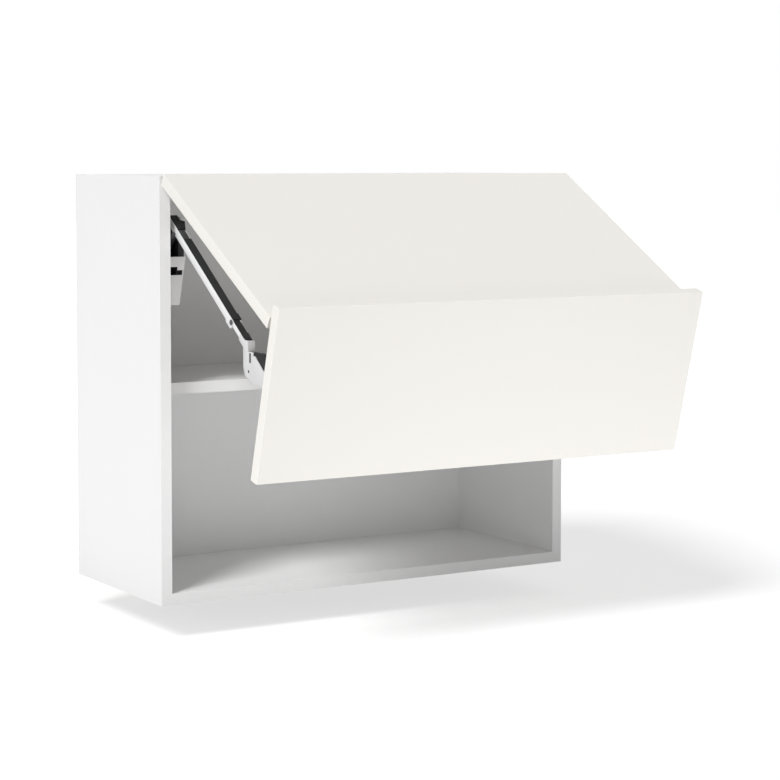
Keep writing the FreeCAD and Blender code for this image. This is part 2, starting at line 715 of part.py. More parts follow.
def centre_arm():
    """The centre hinge's arm on the upper front: a plate with two ears for the link's pin."""
    pivot_z = -size.upper_front_length + size.link_pivot_setback
    pivot_y = size.link_pivot_behind
    plate = prism([(0, -hinge_plate_end), (size.hinge_plate_thickness, -hinge_plate_end),
                   (size.hinge_plate_thickness, -hinge_plate_end + size.hinge_plate_length),
                   (0, -hinge_plate_end + size.hinge_plate_length)],
                  -size.hinge_plate_width / 2, size.hinge_plate_width / 2)
    eye = size.link_eye_radius
    outline = [(0, -hinge_plate_end + 4 * eye), (0, -hinge_plate_end), (pivot_y - eye - 1.2, pivot_z + eye),
               (pivot_y - eye - 1.2, pivot_z - eye / 2), (pivot_y - eye / 2, pivot_z - eye - 1.2),
               (pivot_y + eye / 2, pivot_z - eye - 1.2), (pivot_y + eye + 1.2, pivot_z - eye / 2),
               (pivot_y + eye + 1.2, pivot_z + eye), (size.hinge_plate_thickness, -hinge_plate_end + 8 * eye)]
    ears = []
    start = size.link_width / 2 + size.hinge_ear_gap
    for side in (LEFT, RIGHT):
        ends = sorted((side * start, side * (start + size.hinge_ear_wall)))
        ears.append(prism(outline, ends[0], ends[1],
                          [(pivot_y, pivot_z, size.link_pin_radius + size.pin_clearance)]))
    holes = [screw_hole(Vector(x - size.hinge_offset, size.hinge_plate_thickness, z), Vector(0, -1, 0))
             for x, z in hinge_plate_screws if x > 0]
    return cut(join([plate] + ears), holes)


node("centre_hinge_arms", bundle(at_hinges(centre_arm)), upper_place)
node("centre_hinge_arm_screws", bundle([screw(Vector(x, size.hinge_plate_thickness, z), Vector(0, -1, 0))
                                        for x, z in hinge_plate_screws]), upper_place)


# ---------------------------------------------------------------- centre hinge links

def link():
    """The bent link that steps round the fronts' meeting edges, from the arm's pin to the cup's."""
    cup_y = cup_pivot.y - link_pivot.y
    cup_z = cup_pivot.z - link_pivot.z
    spine = [(0.0, 0.0), (size.link_nose_in, -size.link_nose_down), (size.link_step_in, -size.link_step_down),
             (size.link_foot_in, -size.link_foot_down), (cup_y, cup_z)]
    bars = []
    for (y1, z1), (y2, z2) in zip(spine, spine[1:]):
        length = math.hypot(y2 - y1, z2 - z1)
        ny, nz = (z2 - z1) / length * size.link_half_wall, -(y2 - y1) / length * size.link_half_wall
        bars.append(prism([(y1 + ny, z1 + nz), (y2 + ny, z2 + nz), (y2 - ny, z2 - nz), (y1 - ny, z1 - nz)],
                          -size.link_width / 2, size.link_width / 2))
    knees = [rod_along_x("link_half_wall", "link_width", (0, y, z)) for y, z in spine[1:-1]]
    eyes = [rod_along_x("link_eye_radius", "link_width", (0, y, z)) for y, z in (spine[0], spine[-1])]
    arm_hole = rod_along_x("link_pin_radius", "link_width", (0, 0, 0))
    cup_hole = rod_along_x("link_pin_radius + pin_clearance", "link_width", (0, cup_y, cup_z))
    return cut(join(bars + knees + eyes), [arm_hole, cup_hole])


node("centre_hinge_links", bundle(at_hinges(link)), links_place)
node("centre_hinge_link_pins", bundle(at_hinges(lambda: rod_along_x("link_pin_radius", "link_pin_length",
                                                                    (0, 0, 0)))), links_place)


# ---------------------------------------------------------------- lower front

cup_pin = (0, -size.cup_pivot_depth, -size.cup_pivot_edge)
bracket_start = size.arm_inset + size.arm_width + size.open_pivot_gap
bracket_screws = [(side, x_in, -size.arm_pivot_down + shift)
                  for side in (LEFT, RIGHT)
                  for x_in in (bracket_start + 0.6 * size.bracket_width,)
                  for shift in (-0.3 * size.bracket_length, 0.3 * size.bracket_length)]
bracket_screw_starts = [Vector(side * (inner_half - x_in), size.bracket_thickness, z)
                        for side, x_in, z in bracket_screws]
node("lower_front_panel", cut(
    front_board("height - 2 * front_reveal - fold_gap - upper_front_length"),
    at_hinges(lambda: cup_body(cup_centre))
    + [screw_hole(start, Vector(0, -1, 0)) for start in bracket_screw_starts]), lower_place)
node("centre_hinge_cups", bundle(at_hinges(lambda: cup(cup_pin[1], cup_pin[2], "link_pin_radius",
                                                       "cup_pin_length"))), lower_place)
node("centre_hinge_cup_pins", bundle(at_hinges(lambda: rod_along_x("link_pin_radius", "cup_pin_length",
                                                                   cup_pin))), lower_place)


def arm_bracket(side):
    """An arm's bracket: a plate on the front's inner face with one ear that faces the arm's end."""
    low, high = span(side, bracket_start, bracket_start + size.bracket_width)
    ear_low, ear_high = span(side, bracket_start, bracket_start + size.bracket_thickness)
    down, behind, half = size.arm_pivot_down, size.arm_pivot_behind, size.bracket_length / 2
    plate = prism([(0, -down - half), (size.bracket_thickness, -down - half),
                   (size.bracket_thickness, -down + half), (0, -down + half)], low, high)
    boss = size.arm_pin_head_radius
    ear = prism([(0, -down - 0.7 * half), (behind, -down - boss), (behind + 0.7 * boss, -down - 0.7 * boss),
                 (behind + boss, -down), (behind + 0.7 * boss, -down + 0.7 * boss), (behind, -down + boss),
                 (0, -down + 0.7 * half)], ear_low, ear_high, [(behind, -down, size.arm_pin_radius)])
    holes = [screw_hole(start, Vector(0, -1, 0)) for start in bracket_screw_starts if start.x * side > 0]
    return cut(join([plate, ear]), holes)


node("arm_brackets", bundle([arm_bracket(LEFT), arm_bracket(RIGHT)]), lower_place)
node("arm_bracket_screws", bundle([screw(start, Vector(0, -1, 0)) for start in bracket_screw_starts]),
     lower_place)
node("front_buffers", bundle([rod("buffer_radius", "buffer_thickness",
                                  (side * (size.width / 2 - size.board / 2), 0,
                                   -lower_length + size.buffer_edge), ALONG_Y)
                              for side in (LEFT, RIGHT)]), lower_place)


# ---------------------------------------------------------------- telescopic arms

def arm(side):
    """An arm in the frame of its axle: y runs back along the arm, z is square to it."""
    name = side_name(side)
    floor, top = size.arm_offset, size.arm_offset + size.arm_height
    wall, play, far = size.arm_wall, size.arm_slide_play, size.arm_width

    def across(near, distant):
        """The X range between two distances inwards from the arm's outer face."""
        return span(side, size.arm_inset + near, size.arm_inset + distant)

    def bar(start, end, bottom, height, near, distant):
        """A straight block along the arm, from start to end."""
        return prism([(-end, bottom), (-start, bottom), (-start, bottom + height), (-end, bottom + height)],
                     *across(near, distant))

    # The outer profile: a tall outer wall with a notch and a lug, a floor and a low inner wall.
    notch, lug = size.arm_notch_start, size.arm_outer_end - size.arm_lug_length
    outer_wall = prism([(-size.arm_root, top), (-size.arm_root, floor), (-notch, floor),
                        (-notch, floor + size.arm_notch_height),
                        (-notch - size.arm_notch_length, floor + size.arm_notch_height),
                        (-notch - size.arm_notch_length, floor), (-lug, floor),
                        (-lug - size.arm_lug_drop, floor - size.arm_lug_drop),
                        (-size.arm_outer_end + size.arm_lug_drop, floor - size.arm_lug_drop),
                        (-size.arm_outer_end, floor), (-size.arm_outer_end, top)], *across(0.0, wall))
    base = bar(notch + size.arm_notch_length, size.arm_outer_end, floor, wall, 0.0, far)
    inner_wall = bar(notch + size.arm_notch_length, size.arm_outer_end, floor,
                     size.arm_height - size.arm_lid_height, far - wall, far)
    node(f"{name}_arm_outer_profile", join([outer_wall, base, inner_wall]), arm_place)

    # The inner profile slides in the outer one; its far wall is low too, under the insert's lip.
    near, distant = wall + play, far - wall - play
    inner_top = top - size.arm_lid_height - play
    inner_floor = inner_top - size.arm_inner_height
    start, end = size.arm_inner_start, size.arm_inner_end
    thin = size.arm_inner_wall
    node(f"{name}_arm_inner_profile", join([
        bar(start, end, inner_floor, thin, near, distant),
        bar(start, end, inner_floor, size.arm_inner_height, near, near + thin),
        bar(start, end, inner_floor, size.arm_inner_height - size.arm_inner_lip, distant - thin, distant)]),
        arm_place)

    # The dark insert caps the arm's root, closes the outer profile and fills the inner one.
    cap = bar(size.arm_root, size.arm_cap_end, top - size.arm_lid_height, size.arm_lid_height, wall, far)
    lid = bar(size.arm_lid_start, size.arm_lid_end, top - size.arm_lid_height, size.arm_lid_height, wall, far)
    ear = bar(size.arm_lid_end - size.arm_ear_length, size.arm_lid_end, top - 2 * size.arm_lid_height,
              2 * size.arm_lid_height, far, far + size.arm_ear_reach)
    core = bar(start, end, inner_floor + thin, size.arm_inner_height - thin, near + thin, distant - thin)
    lip = bar(start, end, inner_top - size.arm_inner_lip, size.arm_inner_lip, distant - thin, distant)
    step = bar(size.arm_inner_step_start, end, inner_top - 2 * size.arm_inner_lip, 2 * size.arm_inner_lip,
               distant, distant + size.arm_inner_step_reach)
    node(f"{name}_arm_insert", bundle([cap, join([lid, ear]), join([core, lip, step])]), arm_place)

    # The lever turns on the axle and carries the outer profile's root.
    boss, reach = size.lever_boss_radius, size.lever_length
    lever_top = top - size.arm_lid_height
    lever = prism([(boss, 0), (0.7 * boss, -0.7 * boss), (0, -boss), (-0.7 * boss, -0.7 * boss), (-boss, 0),
                   (-boss, boss), (-reach, floor), (-reach, floor + wall), (-size.arm_lid_start, floor + wall),
                   (-size.arm_lid_start, lever_top), (-size.arm_root, lever_top), (-size.arm_root, floor),
                   (boss, boss)], *across(near, distant + play),
                  [(0, 0, size.axle_radius + size.pin_clearance)])
    node(f"{name}_arm_lever", lever, arm_place)

    # The end plate hangs from the inner profile and cranks up to the arm's outer pivot.
    flange_y, flange_top = axle.y - size.end_flange_reach, axle.z - size.end_flange_drop
    flange_low = flange_top - size.end_flange_height
    rear_y, toe_z = flange_y + size.end_plate_rear, flange_low - size.end_plate_toe
    tail_y, tail_z = flange_y - size.end_plate_tail, toe_z - size.end_plate_toe / 5
    step_y, step_z = flange_y - size.end_step_reach, flange_low - size.end_step_drop
    pivot_y, pivot_z, boss = arm_pivot.y, arm_pivot.z, size.end_boss_radius
    crank = [(pivot_y + 0.9 * boss, pivot_z + 0.45 * boss), (pivot_y + 0.45 * boss, pivot_z + 0.9 * boss),
             (pivot_y - 0.45 * boss, pivot_z + 0.9 * boss), (pivot_y - 0.9 * boss, pivot_z + 0.45 * boss),
             (pivot_y - 0.9 * boss, pivot_z - 0.45 * boss)]

    def on_arm(along, above):
        """A point of the arm's frame, seen in the frame of the model."""
        point = arm_place.multVec(Vector(0, -along, above))
        return point.y, point.z

    tab = size.end_tab_start
    plate_outline = [on_arm(tab, floor + wall), on_arm(tab, inner_top),
                     on_arm(tab + size.end_tab_rise, top), (flange_y, flange_top),
                     (flange_y, flange_low), (step_y, flange_low), (step_y, step_z),
                     (step_y - size.end_step_drop, step_z), (pivot_y + 36.0, pivot_z)] + crank + [
                         (tail_y, tail_z), (flange_y - 0.5 * size.end_plate_tail, tail_z + 2.4),
                         (flange_y - 0.25 * size.end_plate_rear, toe_z),
                         (rear_y - 0.4 * size.end_plate_rear, toe_z + 0.12 * size.end_plate_toe),
                         (rear_y, toe_z + 0.42 * size.end_plate_toe), (rear_y, on_arm(end, inner_floor)[1])]
    skin_low, skin_high = across(0.0, near)
    slot_front = flange_y - size.end_slot_reach
    slot_top = flange_low - size.end_slot_drop
    skin = prism(plate_outline, skin_low, skin_high,
                 [(flange_y - size.end_hole_reach, flange_low - size.end_hole_drop, size.end_hole_radius),
                  (pivot_y, pivot_z, size.arm_pin_radius)])
    flange = prism([(flange_y, flange_low), (flange_y + size.end_flange_thickness, flange_low),
                    (flange_y + size.end_flange_thickness, flange_top), (flange_y, flange_top)],
                   *across(near, near + size.end_flange_width))
    slot = prism([(slot_front - size.end_slot_width, slot_top - size.end_slot_height),
                  (slot_front, slot_top - size.end_slot_height), (slot_front, slot_top),
                  (slot_front - size.end_slot_width, slot_top)], skin_low - 1, skin_high + 1)
    node(f"{name}_arm_end_plate", cut(join([skin, flange]), [slot]))

    # The black end block backs the end plate's crank; its key and peg fill the slot and the hole.
    block_top = flange_low - size.end_slot_drop / 2
    block_rear = flange_y + size.end_flange_thickness
    block_outline = [(block_rear, block_top), (pivot_y + 1.4 * boss, block_top)] + crank + [
        (tail_y, tail_z + 1.5), (flange_y - 0.7 * size.end_plate_tail, tail_z + 5.0),
        (block_rear, toe_z + 0.12 * size.end_plate_toe)]
    block = prism(block_outline, *across(near, near + size.end_block_width),
                  [(pivot_y, pivot_z, size.arm_pin_radius)])
    play = size.end_key_play
    key_front, key_rear = slot_front - size.end_slot_width + play, slot_front - play
    key_low, key_high = slot_top - size.end_slot_height + play, slot_top - play
    key = prism([(key_front, key_low), (key_rear, key_low), (key_rear, key_high), (key_front, key_high)],
                *across(size.end_key_recess, near + size.end_key_root))
    peg = rod("end_hole_radius - end_key_play", "arm_wall + arm_slide_play + end_key_root - end_key_recess",
              (across(size.end_key_recess, near + size.end_key_root)[0], flange_y - size.end_hole_reach,
               flange_low - size.end_hole_drop), ALONG_X)
    node(f"{name}_arm_end_block", join([block, key, peg]))
    pin_low, pin_high = across(0.0, near + size.end_block_width)
    pin = rod("arm_pin_radius", "arm_wall + arm_slide_play + end_block_width",
              (pin_low, pivot_y, pivot_z), ALONG_X)
    head_x = pin_low - size.arm_pin_head_height if side == LEFT else pin_high
    head = rod("arm_pin_head_radius", "arm_pin_head_height", (head_x, pivot_y, pivot_z), ALONG_X)
    node(f"{name}_arm_pivot_pin", join([pin, head]))

    # The clamp screw locks the inner profile in the outer one, near the outer profile's end.
    clamp = doc.addObject("Part::Cylinder", "Clamp")
    clamp.setExpression("Radius", cells("clamp_radius"))
    clamp.setExpression("Height", cells("clamp_head_height"))
    clamp_low, clamp_high = across(-size.clamp_head_height, 0.0)
    clamp.Placement = Placement(Vector(clamp_low, -size.arm_outer_end + size.clamp_radius,
                                       floor + size.arm_height - size.clamp_radius), ALONG_X)
    node(f"{name}_arm_clamp_screw", clamp, arm_place)


arm(LEFT)
arm(RIGHT)


# ---------------------------------------------------------------- checks and files

doc.recompute()
for item in doc.Objects:
    if "Invalid" in item.State or "Error" in item.State:
        raise RuntimeError(f"{item.Name} ({item.Label}) failed to build")
for piece in NODES:
    if piece.Shape.isNull() or not piece.Shape.isValid() or not piece.Shape.Solids:
        raise RuntimeError(f"{piece.Label} has no valid solid")
for piece in NODES:
    piece.Shape.exportStep(f"parts/{piece.Label}.step")

print(f"{len(NODES)} nodes; lower front {lower_length:.1f} long")
for name, point in (("top pivot", top_pivot), ("link pivot", upper_open.multVec(link_pivot)),
                    ("cup pivot", links_open.multVec(cup_pivot)), ("axle", axle), ("arm pivot", arm_pivot)):
    print(f"{name}: y {point.y:.6f} z {point.z:.6f}")
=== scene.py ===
import bpy
import json
import math
from mathutils import Euler, Matrix, Vector

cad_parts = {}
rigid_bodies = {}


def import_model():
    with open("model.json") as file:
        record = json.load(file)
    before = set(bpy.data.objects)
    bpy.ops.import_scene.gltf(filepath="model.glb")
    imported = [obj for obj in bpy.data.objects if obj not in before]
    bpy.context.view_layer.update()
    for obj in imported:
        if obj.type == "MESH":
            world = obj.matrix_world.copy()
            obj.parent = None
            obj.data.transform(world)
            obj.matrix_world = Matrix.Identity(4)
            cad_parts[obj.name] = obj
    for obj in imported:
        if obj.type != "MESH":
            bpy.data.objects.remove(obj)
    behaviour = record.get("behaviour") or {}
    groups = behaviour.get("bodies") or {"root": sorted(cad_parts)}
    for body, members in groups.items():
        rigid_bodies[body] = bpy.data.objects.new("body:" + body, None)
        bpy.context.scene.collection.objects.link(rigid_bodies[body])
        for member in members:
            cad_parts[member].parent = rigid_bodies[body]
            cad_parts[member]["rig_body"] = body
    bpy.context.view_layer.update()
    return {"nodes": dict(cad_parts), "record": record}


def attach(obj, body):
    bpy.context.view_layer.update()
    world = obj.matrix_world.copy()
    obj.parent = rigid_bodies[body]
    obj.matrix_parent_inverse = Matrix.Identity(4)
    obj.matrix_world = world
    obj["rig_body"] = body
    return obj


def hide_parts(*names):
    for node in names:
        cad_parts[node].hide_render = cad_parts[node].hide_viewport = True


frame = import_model()
nodes = frame["nodes"]


# ---------------------------------------------------------------- viewpoint
# A long lens to the left of the cabinet and a little above its top, with the lens shifted
# down so that the upright boards stay nearly upright in the picture.
LENS, SENSOR, LENS_SHIFT, FURTHEST_SEEN = 103.9149, 36.0, -0.12, 100.0
CAMERA_PLACE = (-1.9705, -3.6474, 0.7396)
LOOK_DOWN, ROLL, TURN = 3.619, -0.0398, -31.2206
lens_data = bpy.data.cameras.new("viewpoint")
lens_data.sensor_width = SENSOR
lens_data.lens = LENS
lens_data.shift_y = LENS_SHIFT
lens_data.clip_end = FURTHEST_SEEN
viewpoint = bpy.data.objects.new("viewpoint", lens_data)
bpy.context.scene.collection.objects.link(viewpoint)
viewpoint.location = CAMERA_PLACE
viewpoint.rotation_euler = Euler([math.radians(turn) for turn in (90.0 - LOOK_DOWN, ROLL, TURN)], "XYZ")
bpy.context.scene.camera = viewpoint
bpy.context.scene.view_settings.view_transform = "Standard"


# ---------------------------------------------------------------- carcass boards
# Two sides, a top, a bottom and a shelf of 19 mm chipboard with a white melamine face: a
# fine pearl texture, faintly cloudy, with the bare chips showing on the rear edges.
class Amount:
    """A number that varies over a surface. Operators on it add Math nodes to its finish."""

    def __init__(self, finish, socket):
        self.finish = finish
        self.socket = socket

    def maths(self, operation, first, second=0.0):
        made = self.finish.node("ShaderNodeMath", {"operation": operation}, {0: first, 1: second})
        return Amount(self.finish, made.outputs[0])

    def __add__(self, other):
        return self.maths("ADD", self, other)

    __radd__ = __add__

    def __mul__(self, other):
        return self.maths("MULTIPLY", self, other)

    __rmul__ = __mul__

    def __gt__(self, other):
        return self.maths("GREATER_THAN", self, other)

    def wave(self):
        return self.maths("SINE", self)

    def clipped(self):
        return self.maths("MINIMUM", self.maths("MAXIMUM", self, 0.0), 1.0)


class Finish:
    """One procedural material, built around a Principled shader."""

    def __init__(self, name, metallic=0.0, specular=0.5):
        self.material = bpy.data.materials.new(name)
        self.material.use_nodes = True
        self.tree = self.material.node_tree
        self.shader = self.tree.nodes["Principled BSDF"]
        self.shader.inputs["Metallic"].default_value = metallic
        self.shader.inputs["Specular IOR Level"].default_value = specular
        self.place = self.node("ShaderNodeTexCoord").outputs["Object"]

    def node(self, kind, settings=None, sockets=None):
        """Add a node: its settings first, then the values or links of its sockets."""
        made = self.tree.nodes.new(kind)
        for key, value in (settings or {}).items():
            setattr(made, key, value)
        for key, value in (sockets or {}).items():
            self.feed(made.inputs[key], value)
        return made

    def feed(self, socket, value):
        if isinstance(value, Amount):
            self.tree.links.new(value.socket, socket)
        elif isinstance(value, bpy.types.NodeSocket):
            self.tree.links.new(value, socket)
        elif isinstance(value, tuple) and len(value) == 3 and socket.type == "RGBA":
            socket.default_value = (*value, 1.0)
        else:
            socket.default_value = value

    def stretched(self, scale, along=None):
        """The place on the piece, with each axis scaled by its own amount."""
        sockets = {"Vector": along or self.place, "Scale": scale}
        return self.node("ShaderNodeMapping", None, sockets).outputs[0]

    def noise(self, scale, detail=3.0, roughness=0.5, along=None):
        sockets = {"Vector": along or self.place, "Scale": scale,
                   "Detail": detail, "Roughness": roughness}
        return Amount(self, self.node("ShaderNodeTexNoise", None, sockets).outputs[0])

    def cells(self, scale, along=None):
        made = self.node("ShaderNodeTexVoronoi", None, {"Vector": along or self.place, "Scale": scale})
        return Amount(self, made.outputs["Distance"]), made.outputs["Color"]

    def axis(self, letter):
        made = self.node("ShaderNodeSeparateXYZ", None, {0: self.place})
        return Amount(self, made.outputs["XYZ".index(letter)])

    def blended(self, share, low, high):
        """A colour between two others, by the share of the second."""
        made = self.node("ShaderNodeMix", {"data_type": "RGBA"}, {0: share, 6: low, 7: high})
        return made.outputs[2]

    def surface(self, colour, roughness, height=None, depth=0.0001, strength=0.3):
        self.feed(self.shader.inputs["Base Color"], colour)
        self.feed(self.shader.inputs["Roughness"], roughness)
        if height is not None:
            bump = self.node("ShaderNodeBump", None,
                             {"Strength": strength, "Distance": depth, "Height": height})
            self.feed(self.shader.inputs["Normal"], bump.outputs[0])


slots = {row["node"]: row["material_slot"] for row in frame["record"]["subparts"]}


def dress(slot, finish):
    """Give every CAD node of a material slot its finish."""
    for name, node in nodes.items():
        if slots[name] == slot:
            for holder in node.material_slots:
                holder.material = finish.material


REAR_OF_BOARDS, FACE_OF_BACK = -0.0004, -0.0203
WHITE = (0.872, 0.872, 0.872)
WHITE_SHADE = (0.850, 0.850, 0.851)
CHIP = (0.50, 0.36, 0.22)
CHIP_DARK = (0.27, 0.17, 0.09)


def white_board(name, raw_beyond, raw_light, raw_dark, chip_scale):
    """A white faced board; behind a depth it shows its bare core."""
    made = Finish(name)
    cloud = made.noise(5.0, 2.0)
    pearl = made.noise(900.0, 2.0)
    face = made.blended(cloud, WHITE_SHADE, WHITE)
    chips, tint = made.cells(chip_scale, made.stretched((1.0, 1.0, 0.6)))
    core = made.blended((chips * 1.6).clipped(), raw_light, raw_dark)
    bare = made.axis("Y") > raw_beyond
    colour = made.blended(bare, face, core)
    roughness = 0.40 + 0.08 * pearl + 0.06 * cloud + 0.3 * bare
    made.surface(colour, roughness, pearl * 0.4 + chips * bare, 0.00012, 0.25)
    return made


dress("carcass_board", white_board("white_melamine_board", REAR_OF_BOARDS, CHIP, CHIP_DARK, 420.0))


# ---------------------------------------------------------------- back panel
# A 4 mm fibreboard in the grooves of the four boards, lacquered white on the side that
# shows in the cabinet and bare brown fibre towards the wall.
FIBRE = (0.40, 0.26, 0.15)
FIBRE_DARK = (0.30, 0.19, 0.10)
dress("back_board", white_board("white_faced_fibreboard", FACE_OF_BACK, FIBRE, FIBRE_DARK, 900.0))


# ---------------------------------------------------------------- edge bands
# Thin white plastic strips glued over the front edges of the boards, a little smoother
# than the board faces, with faint marks of the scraper along them.
def edge_band():
    made = Finish("white_edge_band")
    scrape = made.noise(60.0, 3.0, 0.6, made.stretched((1.0, 1.0, 0.05)))
    fine = made.noise(700.0, 2.0)
    made.surface(made.blended(scrape, (0.868, 0.868, 0.868), (0.882, 0.882, 0.880)),
                 0.34 + 0.10 * scrape, fine * 0.5 + scrape * 0.5, 0.00008, 0.2)
    return made


dress("edge_band", edge_band())


# ---------------------------------------------------------------- fronts
# Two boards in a warm off-white matt lacquer, sprayed smooth: a very slight orange peel
# and nothing else, with softly rounded edges all round.
def lacquer():
    made = Finish("warm_white_lacquer", specular=0.35)
    cloud = made.noise(3.0, 2.0)
    peel = made.noise(260.0, 2.0)
    made.surface(made.blended(cloud, (0.868, 0.846, 0.802), (0.882, 0.860, 0.816)),
                 0.46 + 0.08 * cloud, peel, 0.00006, 0.2)
    return made


dress("front_board", lacquer())


# ---------------------------------------------------------------- shelf pins and corner dowels
# Turned steel pins carry the shelf, and fluted beech dowels hold the corners; the pins
# have fine turning marks, and the dowels a straight grain along their length.
def turned_steel(name, colour, across):
    made = Finish(name, metallic=1.0)
    rings = (made.axis(across) * 9000.0).wave()
    wear = made.noise(300.0, 3.0)
    made.surface(made.blended(wear, tuple(part * 0.82 for part in colour), colour),
                 0.24 + 0.16 * wear, rings * 0.3 + wear, 0.00003, 0.25)
    return made


def beech():
    made = Finish("beech_dowel")
    grain = made.noise(900.0, 4.0, 0.6, made.stretched((0.06, 1.0, 1.0)))
    made.surface(made.blended(grain, (0.46, 0.30, 0.17), (0.70, 0.53, 0.35)), 0.55 + 0.2 * grain,
                 grain, 0.0002, 0.4)
    return made


dress("pin_steel", turned_steel("turned_steel", (0.62, 0.62, 0.63), "X"))
dress("dowel_wood", beech())


# ---------------------------------------------------------------- wall hangers
# A moulded hanger in each rear corner with a pressed steel hook over the rail, two steel
# adjusting screws through the back panel and a white cap over them inside.
def softened(names, width, finish=None):
    """Stand-ins for CAD pieces whose sharp edges are rounded, as moulded or pressed ones are."""
    for name in names:
        node = nodes[name]
        piece = bpy.data.objects.new(f"{name}_shaped", node.data.copy())
        bpy.context.scene.collection.objects.link(piece)
        bpy.ops.object.select_all(action="DESELECT")
        bpy.context.view_layer.objects.active = piece
        piece.select_set(True)
        bpy.ops.mesh.customdata_custom_splitnormals_clear()
        bpy.ops.object.mode_set(mode="EDIT")
        bpy.ops.mesh.select_all(action="SELECT")
        bpy.ops.mesh.remove_doubles(threshold=0.000002)
        bpy.ops.mesh.dissolve_limited(angle_limit=math.radians(1.0))
        bpy.ops.object.mode_set(mode="OBJECT")
        rounding = piece.modifiers.new("rounding", "BEVEL")
        rounding.width = width
        rounding.segments = 2
        rounding.limit_method = "ANGLE"
        rounding.angle_limit = math.radians(35.0)
        bpy.ops.object.modifier_apply(modifier=rounding.name)
        bpy.ops.object.shade_smooth_by_angle(angle=math.radians(32.0))
        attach(piece, node["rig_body"])
        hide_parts(name)


def moulded(name, dark, light, roughness, grain_scale=1100.0, specular=0.5):
    """Moulded plastic with the fine spark texture of its mould."""
    made = Finish(name, specular=specular)
    grain = made.noise(grain_scale, 2.0, 0.6)
    flow = made.noise(30.0, 3.0)
    made.surface(made.blended(flow, dark, light), roughness + 0.12 * flow + 0.05 * grain,
                 grain, 0.00008, 0.35)
    return made


def plated(name, dark, light, rough, streak=(1.0, 1.0, 0.08)):
    """Plated pressed steel: streaks of the rolled sheet under a thin bright plate."""
    made = Finish(name, metallic=1.0)
    rolled = made.noise(420.0, 4.0, 0.6, made.stretched(streak))
    stain = made.noise(45.0, 3.0)
    made.surface(made.blended(stain, dark, light), rough + 0.12 * rolled + 0.08 * stain,
                 rolled, 0.00003, 0.3)
    return made


dress("hanger_plastic", moulded("white_moulded_plastic", (0.80, 0.80, 0.79), (0.86, 0.86, 0.85), 0.42))
dress("hanger_steel", plated("zinc_plated_hook", (0.48, 0.49, 0.50), (0.66, 0.66, 0.66), 0.30))
softened(["wall_hangers", "hanger_cover_caps"], 0.0008)
softened(["hanger_hooks"], 0.0005)


# ---------------------------------------------------------------- lift units
# A coated steel base plate screwed to each side carries a black housing, slotted for the
# arm's lever; a light grey moulded cover closes its front and its cabinet side.
dress("lift_base_steel", moulded(
    "coated_sheet_steel", (0.60, 0.61, 0.62), (0.66, 0.67, 0.68), 0.40, 500.0))
dress("lift_housing_black", moulded(
    "black_housing_plastic", (0.012, 0.012, 0.013), (0.022, 0.022, 0.024), 0.38))
dress("lift_cover_grey", moulded(
    "light_grey_cover_plastic", (0.86, 0.86, 0.85), (0.90, 0.90, 0.895), 0.45))


def coiled():
    """Dark spring wire, with the turns of the coil as ridges up the pack; its colour is painted shade
    between the turns and painted highlight on their crowns.
    """
    made = Finish("spring_wire", metallic=1.0)
    turns = (made.axis("Z") * 1600.0 + made.axis("X") * 90.0).wave()
    oil = made.noise(80.0, 3.0)
    # painted shade in the grooves between the turns and painted highlight on their crowns, over the
    # plain pack
    made.surface(made.blended((turns * 0.5 + 0.5).clipped(), (0.05, 0.05, 0.055), (0.38, 0.38, 0.39)),
                 0.30 + 0.15 * oil, turns, 0.001, 0.8)
    return made


dress("spring_steel", coiled())
for side in ("left", "right"):
    softened([f"{side}_lift_base_plate"], 0.0003)
    softened([f"{side}_lift_housing"], 0.0005)
    softened([f"{side}_lift_cover"], 0.0006)


# ---------------------------------------------------------------- hinges
# Nickel-plated cup hinges: plates and arms pressed from sheet, pots let into the fronts,
# and bent links that step round the two meeting edges.
dress("hinge_steel", plated(
    "nickel_plated_steel", (0.60, 0.60, 0.61), (0.76, 0.76, 0.77), 0.24, (0.08, 1.0, 1.0)))
softened(["top_hinge_plates", "top_hinge_arms"], 0.0004)
softened(["centre_hinge_arms", "centre_hinge_links", "arm_brackets"], 0.0004)
softened(["top_hinge_cups", "centre_hinge_cups"], 0.0003)


# ---------------------------------------------------------------- screws
# Zinc-plated pan heads with a cross recess hold the lift units, the hinge plates and the
# arm brackets; each head is turned round and its recess pressed in.
dress("screw_steel", plated("zinc_plated_screw", (0.52, 0.53, 0.53), (0.70, 0.70, 0.69), 0.26))
HEAD_RADIUS, HEAD_RISE, SHANK_RADIUS, SHANK_LENGTH = 0.004, 0.0016, 0.002, 0.014
RECESS_HALF, RECESS_WIDTH, RECESS_DEPTH = 0.0022, 0.0008, 0.0009
CROWN_ROUNDING, TURN_STEP = 0.0005, 37.0


